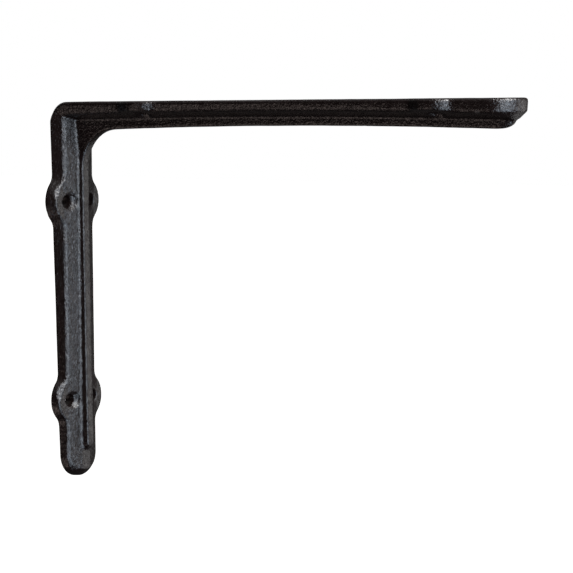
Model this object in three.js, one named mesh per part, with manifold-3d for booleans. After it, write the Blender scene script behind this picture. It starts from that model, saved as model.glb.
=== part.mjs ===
// A cast iron shelf bracket, in millimetres with +Z up.
// X runs out from the wall, Y runs along the wall, and the bracket is the same on both sides of Y = 0.
// The origin is on the wall face, in the middle of the four wall screw holes.

import * as THREE from 'three';
import * as BufferGeometryUtils from 'three/addons/utils/BufferGeometryUtils.js';
import Module from 'manifold-3d';

const wasm = await Module();
wasm.setup();

// Overall reach, measured from the outer corner along each back face
const ARM_LENGTH = 203;
const LEG_LENGTH = 150;

// Flat back of both straps, with rounded edges that lean in by the casting draft
const STRAP_WIDTH_AT_CORNER = 22;
const ARM_WIDTH_AT_TIP = 20.4;
const LEG_WIDTH_AT_TIP = 18.8;
const DRAFT_DEGREES_AT_CORNER = 20;
const ARM_DRAFT_DEGREES_AT_MIDDLE = 15;
const ARM_DRAFT_DEGREES_AT_TIP = 4;
const LEG_DRAFT_DEGREES_AT_MIDDLE = 21;
const LEG_DRAFT_DEGREES_AT_TIP = 6;
const BACK_EDGE_RADIUS = 1;
const FRONT_EDGE_BEVEL = 1;

// Thickness of a strap at its front edge
const ARM_EDGE_AT_CORNER = 5.6;
const ARM_EDGE_AT_MIDDLE = 4.3;
const ARM_EDGE_AT_TIP = 5.8;
const LEG_EDGE_AT_CORNER = 6.3;
const LEG_EDGE_AT_MIDDLE = 5.5;
const LEG_EDGE_AT_TIP = 4.8;

// The front face rises from its edges to the foot of the rib
const CROWN_RISE = 1.9;

// Rib inside the L: its height is measured from the back face to its flat crest
const RIB_CREST_WIDTH = 4.4;
const RIB_DRAFT_DEGREES = 8;
const RIB_EDGE_BEVEL = 0.5;
const ARM_RIB_AT_CORNER = 12;
const ARM_RIB_AT_MIDDLE = 9.7;
const ARM_RIB_AT_TIP = 11.1;
const LEG_RIB_AT_CORNER = 9.8;
const LEG_RIB_AT_MIDDLE = 9.3;
const LEG_RIB_AT_TIP = 9.3;
const RIB_END_TO_ARM_TIP = 3.2;
const RIB_END_TO_LEG_TIP = 11;
const ARM_RIB_RUN_OUT = 7.5;
const LEG_RIB_RUN_OUT = 3.5;
const INNER_CORNER_RADIUS = 15;
const OUTER_CORNER_RADIUS = 7.6;

// Pairs of round screw lugs: places along each strap from the outer corner, and the sunk screw hole in each.
// The spacings are from centre to centre across the strap.
const LEG_LUG_PLACES = [39.2, 118.2];
const ARM_LUG_PLACES = [43.5, 171.8];
const HOLE_SPACING = 14.4;
const LUG_SPACING = 8;
const LUG_RADIUS_BY_CORNER = 10.9;
const LUG_RADIUS_BY_TIP = 10.2;
const LUG_BLEND_RADIUS = 5;
const LUG_FACE_SLOPE_DEGREES = 5;
const SCREW_HOLE_DIAMETER = 4.6;
const SCREW_SINK_DIAMETER = 7.8;
const SCREW_SINK_ANGLE_DEGREES = 100;
const SINK_RIM_ABOVE_LUG_FACE = 0.7;

// Black paint on iron
const PAINT_COLOUR = 0x1b1918;
const PAINT_ROUGHNESS = 0.42;
const PAINT_METALNESS = 0.3;

const OVERCUT = 2;
const ARC_STEPS = 12;
const EDGE_STEPS = 2;
const HOLE_STEPS = 32;
const LENGTH_STEPS = 12;
const STRAIGHT_STEP = 12;

const ribSlope = Math.tan(THREE.MathUtils.degToRad(RIB_DRAFT_DEGREES));
const sinkSlope = Math.tan(THREE.MathUtils.degToRad(SCREW_SINK_ANGLE_DEGREES / 2));
const holeOffset = HOLE_SPACING / 2;
const lugOffset = LUG_SPACING / 2;
const legPatternMiddle = (LEG_LUG_PLACES[0] + LEG_LUG_PLACES[1]) / 2;

const arm = {
  length: ARM_LENGTH,
  lugs: lugPair(ARM_LUG_PLACES),
  edge: bow(ARM_EDGE_AT_CORNER, ARM_EDGE_AT_MIDDLE, ARM_EDGE_AT_TIP, ARM_LENGTH),
  rib: bow(ARM_RIB_AT_CORNER, ARM_RIB_AT_MIDDLE, ARM_RIB_AT_TIP, ARM_LENGTH),
  ribEnd: ARM_LENGTH - RIB_END_TO_ARM_TIP,
  runOut: ARM_RIB_RUN_OUT,
  draft: bow(DRAFT_DEGREES_AT_CORNER, ARM_DRAFT_DEGREES_AT_MIDDLE, ARM_DRAFT_DEGREES_AT_TIP, ARM_LENGTH),
  widthAtTip: ARM_WIDTH_AT_TIP,
};

const leg = {
  length: LEG_LENGTH,
  lugs: lugPair(LEG_LUG_PLACES),
  edge: bow(LEG_EDGE_AT_CORNER, LEG_EDGE_AT_MIDDLE, LEG_EDGE_AT_TIP, LEG_LENGTH),
  rib: bow(LEG_RIB_AT_CORNER, LEG_RIB_AT_MIDDLE, LEG_RIB_AT_TIP, LEG_LENGTH),
  ribEnd: LEG_LENGTH - RIB_END_TO_LEG_TIP,
  runOut: LEG_RIB_RUN_OUT,
  draft: bow(DRAFT_DEGREES_AT_CORNER, LEG_DRAFT_DEGREES_AT_MIDDLE, LEG_DRAFT_DEGREES_AT_TIP, LEG_LENGTH),
  widthAtTip: LEG_WIDTH_AT_TIP,
};

// The lug nearer the corner and the one nearer the tip, as places along the strap with their radii
function lugPair([byCorner, byTip]) {
  return [
    { place: byCorner, radius: LUG_RADIUS_BY_CORNER },
    { place: byTip, radius: LUG_RADIUS_BY_TIP },
  ];
}

// A size that changes gently along a strap: a parabola through its values at the corner, middle and tip
function bow(atCorner, atMiddle, atTip, length) {
  return (along) => {
    const t = along / length;
    const sag = 4 * atMiddle - 2 * atCorner - 2 * atTip;
    return atCorner + (atTip - atCorner) * t + sag * t * (1 - t);
  };
}

// Half the width of a strap's back
function halfWidth(strap, along) {
  return THREE.MathUtils.lerp(STRAP_WIDTH_AT_CORNER, strap.widthAtTip, along / strap.length) / 2;
}

// How far the side of a strap has leaned in where its front bevel starts
function draftInset(strap, along) {
  const slope = Math.tan(THREE.MathUtils.degToRad(strap.draft(along)));
  return (bevelStart(strap, along) - BACK_EDGE_RADIUS) * slope;
}

function bevelStart(strap, along) {
  return strap.edge(along) - FRONT_EDGE_BEVEL;
}

// The lugs on both sides of a strap, with the depth of their front faces
function lugFaces(strap) {
  return strap.lugs.flatMap(({ place, radius }) => {
    const depth = strap.edge(place);
    return [-1, 1].map((side) => ({ place, side, depth, radius }));
  });
}

// Points of a round stretch, from one angle to another
function arcPoints(centreX, centreY, radius, fromAngle, toAngle) {
  const points = [];
  for (let i = 0; i <= ARC_STEPS; i++) {
    const angle = fromAngle + ((toAngle - fromAngle) * i) / ARC_STEPS;
    points.push(new THREE.Vector2(centreX + radius * Math.cos(angle), centreY + radius * Math.sin(angle)));
  }
  return points;
}

// One lug on the upper edge of the outline, with a hollow blend at each side
function lugPoints(strap, { place, radius }, inset) {
  const edgeY = halfWidth(strap, place);
  const blendY = edgeY + LUG_BLEND_RADIUS;
  const reach = radius + LUG_BLEND_RADIUS;
  const lean = Math.asin((blendY - lugOffset) / reach);
  const blendX = reach * Math.cos(lean);
  const blend = LUG_BLEND_RADIUS + inset;
  return [
    ...arcPoints(place - blendX, blendY, blend, -Math.PI / 2, -lean),
    ...arcPoints(place, lugOffset, radius - inset, Math.PI - lean, lean).slice(1),
    ...arcPoints(place + blendX, blendY, blend, Math.PI + lean, Math.PI * 1.5).slice(1),
  ];
}

// Outline of a strap, along X from the corner, drawn in by an inset that can change along it
function strapOutline(strap, insetAt) {
  const tipRadius = halfWidth(strap, strap.length);
  const upper = [new THREE.Vector2(-OVERCUT, halfWidth(strap, 0) - insetAt(0))];
  for (const lug of strap.lugs) {
    upper.push(...lugPoints(strap, lug, insetAt(lug.place)));
  }
  const tipInset = insetAt(strap.length);
  upper.push(...arcPoints(strap.length - tipRadius, 0, tipRadius - tipInset, Math.PI / 2, 0));
  const fine = subdivide(upper);
  const lower = fine.slice(0, -1).map((point) => new THREE.Vector2(point.x, -point.y));
  return [...fine, ...lower.reverse()];
}

// Puts points into the long straight stretches of an outline, so that a depth can follow them
function subdivide(points) {
  return points.flatMap((point, index) => {
    const next = points[Math.min(index + 1, points.length - 1)];
    const count = Math.max(1, Math.round(Math.abs(next.x - point.x) / STRAIGHT_STEP));
    return Array.from({ length: count }, (_, i) => point.clone().lerp(next, i / count));
  });
}

// A closed solid through rings of points that all have the same number of corners
function loft(rings) {
  const count = rings[0].length;
  const positions = rings.flat().flatMap((point) => point.toArray());
  const indices = [];
  for (let ring = 0; ring < rings.length - 1; ring++) {
    for (let i = 0; i < count; i++) {
      const here = ring * count + i;
      const beside = ring * count + ((i + 1) % count);
      indices.push(here, beside, here + count);
      indices.push(beside, beside + count, here + count);
    }
  }
  const lastStart = (rings.length - 1) * count;
  for (const [a, b, c] of capTriangles(rings[0])) {
    indices.push(c, b, a);
  }
  for (const [a, b, c] of capTriangles(rings[rings.length - 1])) {
    indices.push(lastStart + a, lastStart + b, lastStart + c);
  }
  const geometry = new THREE.BufferGeometry();
  geometry.setAttribute('position', new THREE.Float32BufferAttribute(positions, 3));
  geometry.setIndex(indices);
  return geometry;
}

// Triangles of a flat ring, turning the way the ring turns
function capTriangles(ring) {
  const normal = new THREE.Vector3();
  for (let i = 0; i < ring.length; i++) {
    normal.add(new THREE.Vector3().crossVectors(ring[i], ring[(i + 1) % ring.length]));
  }
  const turn = new THREE.Quaternion().setFromUnitVectors(normal.normalize(), new THREE.Vector3(0, 0, 1));
  const flat = ring.map((point) => {
    const turned = point.clone().applyQuaternion(turn);
    return new THREE.Vector2(turned.x, turned.y);
  });
  return THREE.ShapeUtils.triangulateShape(flat, []);
}

function toManifold(geometry) {
  const bare = geometry.clone();
  bare.deleteAttribute('normal');
  bare.deleteAttribute('uv');
  const merged = BufferGeometryUtils.mergeVertices(bare);
  const vertProperties = new Float32Array(merged.attributes.position.array);
  const triVerts = new Uint32Array(merged.index.array);
  return new wasm.Manifold(new wasm.Mesh({ numProp: 3, vertProperties, triVerts }));
}

function toGeometry(manifold) {
  const mesh = manifold.getMesh();
  const geometry = new THREE.BufferGeometry();
  geometry.setAttribute('position', new THREE.BufferAttribute(mesh.vertProperties, mesh.numProp));
  geometry.setIndex(new THREE.BufferAttribute(mesh.triVerts, 1));
  return geometry;
}

// Depths of a quarter-round edge, and how far the side stands in from its widest there
function roundedEdge() {
  const stations = [];
  for (let i = 0; i <= EDGE_STEPS; i++) {
    const angle = ((Math.PI / 2) * i) / EDGE_STEPS;
    stations.push({
      depth: BACK_EDGE_RADIUS * (1 - Math.cos(angle)),
      inset: BACK_EDGE_RADIUS * (1 - Math.sin(angle)),
    });
  }
  return stations;
}

// The strap as if cut from thick plate: rounded behind, leaning in towards the front, then bevelled
function draftedPlate(strap) {
  const rise = FRONT_EDGE_BEVEL + CROWN_RISE;
  const stations = roundedEdge().map(({ depth, inset }) => ({ depthAt: () => depth, insetAt: () => inset }));
  stations.push({
    depthAt: (along) => bevelStart(strap, along),
    insetAt: (along) => draftInset(strap, along),
  });
  stations.push({
    depthAt: (along) => bevelStart(strap, along) + rise,
    insetAt: (along) => draftInset(strap, along) + rise,
  });
  const rings = stations.map(({ depthAt, insetAt }) => {
    const outline = strapOutline(strap, insetAt);
    return outline.reverse().map((point) => new THREE.Vector3(point.x, point.y, depthAt(point.x)));
  });
  return loft(rings);
}

// The space behind the crowned front face, from past the corner to past the tip
function crownedSpace(strap) {
  const side = STRAP_WIDTH_AT_CORNER;
  const foot = RIB_CREST_WIDTH / 2;
  const rings = [];
  for (let i = 0; i <= LENGTH_STEPS; i++) {
    const along = ((strap.length + 2 * OVERCUT) * i) / LENGTH_STEPS - OVERCUT;
    const edge = strap.edge(along);
    const arris = halfWidth(strap, along) - draftInset(strap, along) - FRONT_EDGE_BEVEL;
    const fall = (CROWN_RISE * (side - foot)) / (arris - foot);
    const ridge = edge + CROWN_RISE;
    const section = [
      [-side, -OVERCUT],
      [side, -OVERCUT],
      [side, ridge - fall],
      [foot, ridge],
      [-foot, ridge],
      [-side, ridge - fall],
    ];
    rings.push(section.map(([y, depth]) => new THREE.Vector3(along, y, depth)));
  }
  return loft(rings);
}

// The space behind each flat lug face, which leans away from the rib
function lugSpaces(strap) {
  const lean = THREE.MathUtils.degToRad(LUG_FACE_SLOPE_DEGREES);
  return lugFaces(strap).map(({ place, side, depth, radius }) => {
    const height = depth + OVERCUT;
    const front = radius - FRONT_EDGE_BEVEL;
    const space = new THREE.CylinderGeometry(front, front + height, height, HOLE_STEPS);
    space.translate(0, -height / 2, 0).rotateX(Math.PI / 2 - side * lean);
    return space.translate(place, side * lugOffset, depth);
  });
}

// Sunk screw holes of one strap: a bore, a cone up to the sink's rim, and the same width on above it
function screwHoles(strap) {
  const bore = SCREW_HOLE_DIAMETER / 2;
  const sink = SCREW_SINK_DIAMETER / 2;
  const sinkDepth = (sink - bore) / sinkSlope;
  return lugFaces(strap).map(({ place, side, depth }) => {
    const rim = depth + SINK_RIM_ABOVE_LUG_FACE;
    const stations = [
      { at: -OVERCUT, radius: bore },
      { at: rim - sinkDepth, radius: bore },
      { at: rim, radius: sink },
      { at: strap.edge(0) + CROWN_RISE + OVERCUT, radius: sink },
    ];
    return loft(stations.map(({ at, radius }) => circlePoints(place, side * holeOffset, radius, at)));
  });
}

function circlePoints(centreX, centreY, radius, depth) {
  return Array.from({ length: HOLE_STEPS }, (_, i) => {
    const angle = (2 * Math.PI * i) / HOLE_STEPS;
    return new THREE.Vector3(centreX + radius * Math.cos(angle), centreY + radius * Math.sin(angle), depth);
  });
}

// Turns a strap, made along X with its back at Z = 0, into the leg or the arm
function standAsLeg(geometry) {
  return geometry.rotateY(Math.PI / 2);
}

function layAsArm(geometry) {
  return geometry.rotateX(Math.PI);
}

// A strap with its lugs, without its screw holes
function strapSolid(strap, place) {
  let front = toManifold(place(crownedSpace(strap)));
  for (const space of lugSpaces(strap)) {
    front = front.add(toManifold(place(space)));
  }
  return toManifold(place(draftedPlate(strap))).intersect(front);
}

// Stations of the rib's crest, from the arm's tip round the inner corner to the leg's tip.
// Each has its place in the XZ plane, the way into the metal, and how far its end has run out.
function ribStations() {
  const stations = [];
  const armStart = leg.rib(0) + INNER_CORNER_RADIUS;
  const legStart = arm.rib(0) + INNER_CORNER_RADIUS;
  const armAt = (along) => new THREE.Vector2(along, -arm.rib(along));
  const legAt = (along) => new THREE.Vector2(leg.rib(along), -along);
  for (let i = 0; i <= ARC_STEPS; i++) {
    const runOut = 1 - i / ARC_STEPS;
    const along = arm.ribEnd - arm.runOut * (1 - runOut);
    stations.push({ point: armAt(along), inward: new THREE.Vector2(0, 1), runOut, strap: arm, along });
  }
  for (let i = 1; i < LENGTH_STEPS; i++) {
    const along = arm.ribEnd - arm.runOut + ((armStart - arm.ribEnd + arm.runOut) * i) / LENGTH_STEPS;
    stations.push({ point: armAt(along), inward: new THREE.Vector2(0, 1), runOut: 0 });
  }
  const centreX = leg.rib(legStart) + INNER_CORNER_RADIUS;
  const centreZ = -arm.rib(armStart) - INNER_CORNER_RADIUS;
  const bend = arcPoints(centreX, centreZ, INNER_CORNER_RADIUS, Math.PI / 2, Math.PI);
  for (const point of bend) {
    const inward = new THREE.Vector2(point.x - centreX, point.y - centreZ).normalize();
    stations.push({ point, inward, runOut: 0 });
  }
  for (let i = 1; i < LENGTH_STEPS; i++) {
    const along = legStart + ((leg.ribEnd - leg.runOut - legStart) * i) / LENGTH_STEPS;
    stations.push({ point: legAt(along), inward: new THREE.Vector2(-1, 0), runOut: 0 });
  }
  for (let i = 0; i <= ARC_STEPS; i++) {
    const runOut = i / ARC_STEPS;
    const along = leg.ribEnd - leg.runOut * (1 - runOut);
    stations.push({ point: legAt(along), inward: new THREE.Vector2(-1, 0), runOut, strap: leg, along });
  }
  return stations;
}

// The rib: a drafted bar with bevelled edges that follows its crest and sinks into the straps at its ends
function ribGeometry() {
  const depth = Math.max(ARM_RIB_AT_CORNER, LEG_RIB_AT_CORNER);
  const rings = ribStations().map(({ point, inward, runOut, strap, along }) => {
    const proud = strap ? strap.rib(along) - strap.edge(along) - CROWN_RISE : 0;
    const drop = (proud + RIB_EDGE_BEVEL) * (1 - Math.sqrt(1 - runOut * runOut));
    const half = (RIB_CREST_WIDTH / 2) * Math.sqrt(1 - 0.9 * runOut * runOut);
    const root = half + depth * ribSlope;
    const bevel = Math.min(RIB_EDGE_BEVEL, half / 2);
    const section = [
      [root, depth],
      [half, bevel],
      [half - bevel, 0],
      [bevel - half, 0],
      [-half, bevel],
      [-root, depth],
    ];
    return section.map(([y, down]) => {
      const place = point.clone().addScaledVector(inward, down + drop);
      return new THREE.Vector3(place.x, y, place.y);
    });
  });
  return loft(rings);
}

// Everything in front of the wall face and below the shelf face, with the outer corner rounded.
// The corner's radius grows towards its two sides, which rounds its edges like those of the straps.
function cornerSpace() {
  const half = halfWidth(leg, 0);
  const growth = 1 / (Math.SQRT2 - 1);
  const nearSide = roundedEdge().map(({ depth, inset }) => ({
    y: half - BACK_EDGE_RADIUS - depth,
    radius: OUTER_CORNER_RADIUS + inset * growth,
  }));
  const outside = { y: STRAP_WIDTH_AT_CORNER, radius: nearSide[0].radius };
  const stations = [outside, ...nearSide];
  const farSide = stations.map(({ y, radius }) => ({ y: -y, radius }));
  const rings = [...farSide, ...stations.reverse()].map(({ y, radius }) => {
    const outline = [
      new THREE.Vector2(0, -LEG_LENGTH - OVERCUT),
      ...arcPoints(radius, -radius, radius, Math.PI, Math.PI / 2),
      new THREE.Vector2(ARM_LENGTH + OVERCUT, 0),
      new THREE.Vector2(ARM_LENGTH + OVERCUT, -LEG_LENGTH - OVERCUT),
    ];
    return outline.map((point) => new THREE.Vector3(point.x, y, point.y));
  });
  return loft(rings);
}

function bracketGeometry() {
  const straps = strapSolid(leg, standAsLeg).add(strapSolid(arm, layAsArm));
  let solid = straps.add(toManifold(ribGeometry())).intersect(toManifold(cornerSpace()));
  const holes = [...screwHoles(leg).map(standAsLeg), ...screwHoles(arm).map(layAsArm)];
  for (const hole of holes) {
    solid = solid.subtract(toManifold(hole));
  }
  return toGeometry(solid);
}

const material = new THREE.MeshStandardMaterial({
  color: PAINT_COLOUR,
  roughness: PAINT_ROUGHNESS,
  metalness: PAINT_METALNESS,
});

const bracket = new THREE.Mesh(bracketGeometry(), material);
bracket.name = 'shelf_bracket';
bracket.position.set(0, 0, legPatternMiddle);

const group = new THREE.Group();
group.add(bracket);

export default group;
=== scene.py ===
import math

import bpy
import numpy as np
from mathutils import Matrix, Vector, noise


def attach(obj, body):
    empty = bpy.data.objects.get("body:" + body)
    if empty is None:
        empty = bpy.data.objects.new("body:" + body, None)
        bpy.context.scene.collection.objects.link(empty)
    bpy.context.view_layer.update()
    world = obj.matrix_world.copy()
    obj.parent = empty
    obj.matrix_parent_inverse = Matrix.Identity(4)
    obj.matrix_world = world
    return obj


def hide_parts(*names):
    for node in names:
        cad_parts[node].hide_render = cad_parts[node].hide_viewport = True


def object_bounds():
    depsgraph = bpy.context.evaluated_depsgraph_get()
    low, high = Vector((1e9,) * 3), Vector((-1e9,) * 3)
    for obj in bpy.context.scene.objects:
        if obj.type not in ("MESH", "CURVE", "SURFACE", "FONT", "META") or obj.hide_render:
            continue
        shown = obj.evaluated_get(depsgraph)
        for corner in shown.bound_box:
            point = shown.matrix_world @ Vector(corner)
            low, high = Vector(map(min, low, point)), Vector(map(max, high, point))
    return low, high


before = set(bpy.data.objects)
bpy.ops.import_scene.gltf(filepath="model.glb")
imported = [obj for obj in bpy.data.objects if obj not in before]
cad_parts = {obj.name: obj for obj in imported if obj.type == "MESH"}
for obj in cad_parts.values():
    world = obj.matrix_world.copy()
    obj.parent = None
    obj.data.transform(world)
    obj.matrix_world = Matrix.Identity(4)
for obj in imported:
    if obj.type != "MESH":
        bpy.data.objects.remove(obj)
cad_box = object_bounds()

MM = 0.001
SEED = 7

# The photograph's camera: its place, its turns in radians, and its lens and sensor in mm
CAMERA_PLACE = Vector((0.5177, -0.6143, 0.0817))
CAMERA_YAW = 0.592428
CAMERA_PITCH = 0.09696
CAMERA_ROLL = -0.011986
CAMERA_LENS = 126.08
CAMERA_SENSOR = 36
CAMERA_CLIP = (0.05, 100)

# The casting's mesh: the cell of its remesh, and how far its edges are smoothed
CELL = 0.5 * MM
EDGE_SMOOTHING = 0.5

# Two lug rims ground flat by hand: the flats' direction and reach, and each one's middle and depth
GROUND_NORMAL = (0.72, -0.63, 0.29)
GROUND_REACH = 6 * MM
GROUND_RIMS = [
    # middle, depth
    ((5 * MM, -13.3 * MM, -35.2 * MM), 0.65 * MM),
    ((5 * MM, -13.9 * MM, 44.1 * MM), 0.45 * MM),
]

# The texture of a sand casting
WAVES = [
    # wavelength, height
    (16 * MM, 0.10 * MM),
    (5 * MM, 0.05 * MM),
    (2.2 * MM, 0.025 * MM),
]
PITS = 70
PIT_RADIUS = (0.5 * MM, 1.1 * MM)
PIT_DEPTH = (0.06 * MM, 0.16 * MM)
PIT_STEEPNESS = 2

# Black paint over iron, as linear colours
PAINT_DARK = (0.0036, 0.0019, 0.0017, 1)
PAINT_LIGHT = (0.0070, 0.0042, 0.0038, 1)
# The sharp edges' lighter grey, partly paint wear and partly a painted highlight: its colour, the
# curvature over which it comes in, and its largest share
EDGE_WEAR_AND_HIGHLIGHT = (0.035, 0.030, 0.028, 1)
EDGE_CURVATURE = (0.53, 0.6)
EDGE_WEAR_AND_HIGHLIGHT_SHARE = 0.6

# The paint's patterns: each one's wavelength and the span of its noise that counts,
# and what the gloss and the shine are spread over
PAINT_IOR = 1.5
MOTTLE = 5 * MM
MOTTLE_SPAN = (0.35, 0.65)
GLOSS = 2.4 * MM
GLOSS_SPAN = (0.3, 0.7)
ROUGHNESS = (0.15, 0.28)
SHINE = 1.1 * MM
SHINE_SPAN = (0.35, 0.65)
SPECULAR = (0.3, 0.66)

# Its fine relief, as bump
PEEL = 2.4 * MM
PEEL_HEIGHT = 0.2 * MM
GRAIN = 0.8 * MM
GRAIN_HEIGHT = 0.3 * MM

# The shelf's seat, where the surface faces up, rubbed dull: what it adds to the roughness,
# and the share of the shine that it keeps
SEAT_FACING_UP = (0.9, 0.99)
SEAT_DULLNESS = 0.35
SEAT_SHINE = 0.15

# The pale floor, far below the bracket
FLOOR_DROP = 1.5
FLOOR_SIZE = 60
FLOOR_COLOUR = (0.9, 0.9, 0.89, 1)
FLOOR_ROUGHNESS = 0.9
FLOOR_GLOW = 1

# The softboxes. Azimuth 0 is in front of the bracket, along -Y, and 90 is along +X
WHITE = (1, 1, 1)
WINDOW = (0.87, 0.92, 1)
SKY = (0.74, 0.86, 1)
WARM = (1, 0.82, 0.76)
SOFTBOXES = [
    # name, azimuth, elevation, distance, size, radiance, colour
    ("key", 54, 17, 1.1, (0.5, 0.7), 8.5, WINDOW),
    ("side", 84, 12, 1.1, (0.5, 0.8), 4.5, SKY),
    ("top", 80, 54, 1.0, (0.6, 0.5), 20, WHITE),
    ("low_left", -37, -39, 1.1, (0.6, 0.5), 1.7, WARM),
    ("low_right", 62, -28, 1.1, (1.0, 0.6), 5.5, SKY),
    ("rear_right", 141, -6, 1.1, (0.35, 0.7), 2.2, WHITE),
    ("rear_low", 160, -34, 1.1, (0.6, 0.4), 0.9, WHITE),
]

# The surround: its strengths, the parts of a unit direction between which it changes,
# and the shares of its strength behind that are left low down and towards the wall
SURROUND_IN_FRONT = 0.015
SURROUND_BEHIND = 0.7
SURROUND_OVERHEAD = 0.3
BEHIND_BY_Y = (-0.1, 0.4)
ABOVE_BY_Z = (-0.7, -0.1)
SHARE_LOW_DOWN = 0.25
OUTWARD_BY_X = (0.4, 0.55)
SHARE_BY_WALL = 0.1
OVERHEAD_BY_Z = (0.4, 0.8)


# The casting

def remeshed(node):
    """A copy of a CAD node as an even mesh of small cells, with its edges rounded."""
    piece = bpy.data.objects.new("shelf_bracket_casting", node.data.copy())
    bpy.context.scene.collection.objects.link(piece)
    piece.matrix_world = node.matrix_world
    remesh = piece.modifiers.new("even cells", "REMESH")
    remesh.mode = "VOXEL"
    remesh.voxel_size = CELL
    smooth = piece.modifiers.new("cast edges", "SMOOTH")
    smooth.factor = EDGE_SMOOTHING
    smooth.iterations = 1
    evaluated = piece.evaluated_get(bpy.context.evaluated_depsgraph_get())
    mesh = bpy.data.meshes.new_from_object(evaluated)
    piece.modifiers.clear()
    piece.data = mesh
    mesh.name = piece.name
    return piece


def coordinates(mesh, kind):
    """The places ("co") or normals ("normal") of a mesh's vertices, one row for each."""
    values = np.empty(len(mesh.vertices) * 3)
    mesh.vertices.foreach_get(kind, values)
    return values.reshape(-1, 3)


def move_vertices(mesh, places):
    mesh.vertices.foreach_set("co", places.ravel())
    mesh.update()


def ground_rims(mesh):
    """Flattens the rims of two lugs, as a grinding wheel does, and never outwards."""
    places = coordinates(mesh, "co")
    normal = np.array(GROUND_NORMAL) / np.linalg.norm(GROUND_NORMAL)
    for middle, depth in GROUND_RIMS:
        near = np.linalg.norm(places - middle, axis=1) < GROUND_REACH
        height = places[near] @ normal
        above = np.maximum(height - (height.max() - depth), 0)
        places[near] -= above[:, None] * normal
    move_vertices(mesh, places)


def sand_texture(mesh):
    """Presses the waves and pits of a sand casting into the surface, never outwards."""
    places = coordinates(mesh, "co")
    normals = coordinates(mesh, "normal")

    depth = np.zeros(len(places))
    for wavelength, height in WAVES:
        wave = np.array([noise.noise(Vector(place / wavelength)) for place in places])
        depth += height * (0.5 - 0.5 * np.clip(wave, -1, 1))

    random = np.random.default_rng(SEED)
    for centre in places[random.integers(0, len(places), PITS)]:
        radius = random.uniform(*PIT_RADIUS)
        away = np.linalg.norm(places - centre, axis=1) / radius
        depth += random.uniform(*PIT_DEPTH) * np.exp(-PIT_STEEPNESS * away**2)

    move_vertices(mesh, places - normals * depth[:, None])


def casting():
    piece = remeshed(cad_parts["shelf_bracket"])
    ground_rims(piece.data)
    sand_texture(piece.data)
    piece.data.shade_smooth()
    piece.data.materials.clear()
    piece.data.materials.append(painted_iron())
    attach(piece, "root")
    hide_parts("shelf_bracket")


# Materials

class Nodes:
    """A short way to add nodes to a material or a world and join them."""

    def __init__(self, owner):
        owner.use_nodes = True
        self.tree = owner.node_tree

    def set(self, node, name, value):
        """Gives an input a plain value, or joins another node's output to it."""
        if isinstance(value, bpy.types.NodeSocket):
            self.tree.links.new(value, node.inputs[name])
        else:
            node.inputs[name].default_value = value

    def add(self, kind, inputs=None, **settings):
        node = self.tree.nodes.new(kind)
        for name, value in settings.items():
            setattr(node, name, value)
        for name, value in (inputs or {}).items():
            self.set(node, name, value)
        return node

    def coordinate(self, kind):
        return self.add("ShaderNodeTexCoord").outputs[kind]

    def axes(self, vector):
        return self.add("ShaderNodeSeparateXYZ", {"Vector": vector}).outputs

    def noise(self, wavelength, detail, roughness=0.5):
        inputs = {
            "Vector": self.coordinate("Object"),
            "Scale": 1 / wavelength,
            "Detail": detail,
            "Roughness": roughness,
        }
        return self.add("ShaderNodeTexNoise", inputs).outputs["Fac"]

    def spread(self, value, span, to_span=(0, 1)):
        """The value's place in one span, carried over to another."""
        inputs = {
            "Value": value,
            "From Min": span[0],
            "From Max": span[1],
            "To Min": to_span[0],
            "To Max": to_span[1],
        }
        return self.add("ShaderNodeMapRange", inputs).outputs["Result"]

    def maths(self, operation, first, second):
        return self.add("ShaderNodeMath", {0: first, 1: second}, operation=operation).outputs[0]

    def mix(self, share, first, second):
        inputs = {0: share, 6: first, 7: second}
        return self.add("ShaderNodeMix", inputs, data_type="RGBA").outputs[2]

    def bump(self, height, distance, normal=None):
        inputs = {"Height": height, "Distance": distance, "Strength": 1}
        if normal is not None:
            inputs["Normal"] = normal
        return self.add("ShaderNodeBump", inputs).outputs["Normal"]


def painted_iron():
    """Black paint on sand-cast iron: mottled, grainy, and lighter grey on its sharp edges, partly
    paint wear and partly a painted highlight.
    """
    material = bpy.data.materials.new("painted_iron")
    nodes = Nodes(material)
    shader = nodes.tree.nodes["Principled BSDF"]

    mottle = nodes.spread(nodes.noise(MOTTLE, detail=4, roughness=0.6), MOTTLE_SPAN)
    curvature = nodes.add("ShaderNodeNewGeometry").outputs["Pointiness"]
    # Sharp edges turn lighter grey: partly paint wear, partly a painted highlight along the edges
    wear_and_highlight = nodes.spread(curvature, EDGE_CURVATURE, (0, EDGE_WEAR_AND_HIGHLIGHT_SHARE))
    paint = nodes.mix(mottle, PAINT_DARK, PAINT_LIGHT)
    nodes.set(shader, "Base Color", nodes.mix(wear_and_highlight, paint, EDGE_WEAR_AND_HIGHLIGHT))

    upward = nodes.axes(nodes.coordinate("Normal"))["Z"]
    roughness = nodes.spread(nodes.noise(GLOSS, detail=3), GLOSS_SPAN, ROUGHNESS)
    dulled = nodes.spread(upward, SEAT_FACING_UP, (0, SEAT_DULLNESS))
    nodes.set(shader, "Roughness", nodes.maths("ADD", roughness, dulled))

    shine = nodes.spread(nodes.noise(SHINE, detail=2, roughness=0.6), SHINE_SPAN, SPECULAR)
    kept = nodes.spread(upward, SEAT_FACING_UP, (1, SEAT_SHINE))
    nodes.set(shader, "Specular IOR Level", nodes.maths("MULTIPLY", shine, kept))

    peel = nodes.bump(nodes.noise(PEEL, detail=1), PEEL_HEIGHT)
    grain = nodes.noise(GRAIN, detail=2, roughness=0.6)
    nodes.set(shader, "Normal", nodes.bump(grain, GRAIN_HEIGHT, peel))

    shader.inputs["IOR"].default_value = PAINT_IOR
    return material


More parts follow.
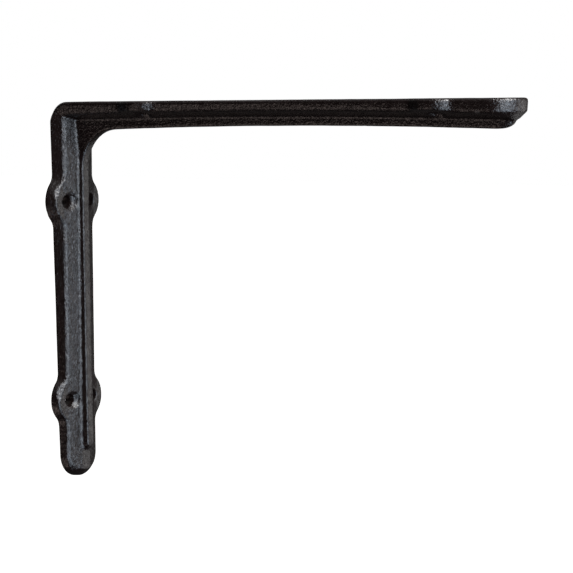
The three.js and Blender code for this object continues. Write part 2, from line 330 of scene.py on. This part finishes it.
def pale_floor():
    material = bpy.data.materials.new("pale_floor")
    material.use_nodes = True
    shader = material.node_tree.nodes["Principled BSDF"]
    shader.inputs["Base Color"].default_value = FLOOR_COLOUR
    shader.inputs["Roughness"].default_value = FLOOR_ROUGHNESS
    shader.inputs["Emission Color"].default_value = FLOOR_COLOUR
    shader.inputs["Emission Strength"].default_value = FLOOR_GLOW
    return material


# The studio

def studio_floor():
    half = FLOOR_SIZE / 2
    height = cad_box[0].z - FLOOR_DROP
    corners = [
        (-half, -half, height),
        (half, -half, height),
        (half, half, height),
        (-half, half, height),
    ]
    mesh = bpy.data.meshes.new("studio_floor")
    mesh.from_pydata(corners, [], [(0, 1, 2, 3)])
    mesh.materials.append(pale_floor())
    floor = bpy.data.objects.new("studio_floor", mesh)
    bpy.context.scene.collection.objects.link(floor)
    floor.visible_diffuse = False
    floor.visible_glossy = False


def softbox(name, azimuth, elevation, distance, size, radiance, colour):
    """A flat light that faces the bracket's middle."""
    middle = (cad_box[0] + cad_box[1]) / 2
    turn = math.radians(azimuth)
    rise = math.radians(elevation)
    away = Vector((
        math.sin(turn) * math.cos(rise),
        -math.cos(turn) * math.cos(rise),
        math.sin(rise),
    ))
    light = bpy.data.lights.new(name, "AREA")
    light.shape = "RECTANGLE"
    light.size, light.size_y = size
    light.energy = radiance * math.pi * size[0] * size[1]
    light.color = colour
    lamp = bpy.data.objects.new(name, light)
    lamp.location = middle + away * distance
    lamp.rotation_mode = "QUATERNION"
    lamp.rotation_quaternion = away.to_track_quat("Z", "Y")
    lamp.visible_camera = False
    bpy.context.scene.collection.objects.link(lamp)


def studio_world():
    """A surround that is white to the camera and lights the bracket mostly from behind."""
    world = bpy.data.worlds.new("studio")
    bpy.context.scene.world = world
    nodes = Nodes(world)
    surround = nodes.tree.nodes["Background"]

    direction = nodes.axes(nodes.coordinate("Generated"))
    behind = nodes.spread(direction["Y"], BEHIND_BY_Y)
    above = nodes.spread(direction["Z"], ABOVE_BY_Z, (SHARE_LOW_DOWN, 1))
    outward = nodes.spread(direction["X"], OUTWARD_BY_X, (SHARE_BY_WALL, 1))
    share = nodes.maths("MULTIPLY", nodes.maths("MULTIPLY", behind, above), outward)
    level = nodes.spread(share, (0, 1), (SURROUND_IN_FRONT, SURROUND_BEHIND))
    overhead = nodes.spread(direction["Z"], OVERHEAD_BY_Z, (0, SURROUND_OVERHEAD))
    nodes.set(surround, "Color", (*WHITE, 1))
    nodes.set(surround, "Strength", nodes.maths("ADD", level, overhead))

    backdrop = nodes.add("ShaderNodeBackground", {"Color": (*WHITE, 1)}).outputs[0]
    seen = nodes.add("ShaderNodeLightPath").outputs["Is Camera Ray"]
    inputs = {0: seen, 1: surround.outputs[0], 2: backdrop}
    both = nodes.add("ShaderNodeMixShader", inputs).outputs[0]
    nodes.set(nodes.tree.nodes["World Output"], "Surface", both)


def camera():
    cosine = math.cos(CAMERA_PITCH)
    ahead = Vector((
        -math.sin(CAMERA_YAW) * cosine,
        math.cos(CAMERA_YAW) * cosine,
        -math.sin(CAMERA_PITCH),
    ))
    level = Vector((math.cos(CAMERA_YAW), math.sin(CAMERA_YAW), 0))
    upright = level.cross(ahead)
    right = level * math.cos(CAMERA_ROLL) + upright * math.sin(CAMERA_ROLL)
    up = upright * math.cos(CAMERA_ROLL) - level * math.sin(CAMERA_ROLL)
    data = bpy.data.cameras.new("camera")
    data.sensor_width = CAMERA_SENSOR
    data.lens = CAMERA_LENS
    data.clip_start, data.clip_end = CAMERA_CLIP
    lens = bpy.data.objects.new("camera", data)
    turned = Matrix((right, up, -ahead)).transposed().to_4x4()
    lens.matrix_world = Matrix.Translation(CAMERA_PLACE) @ turned
    bpy.context.scene.collection.objects.link(lens)
    bpy.context.scene.camera = lens


camera()
studio_world()
for settings in SOFTBOXES:
    softbox(*settings)
studio_floor()
casting()
bpy.context.scene.view_settings.view_transform = "Standard"
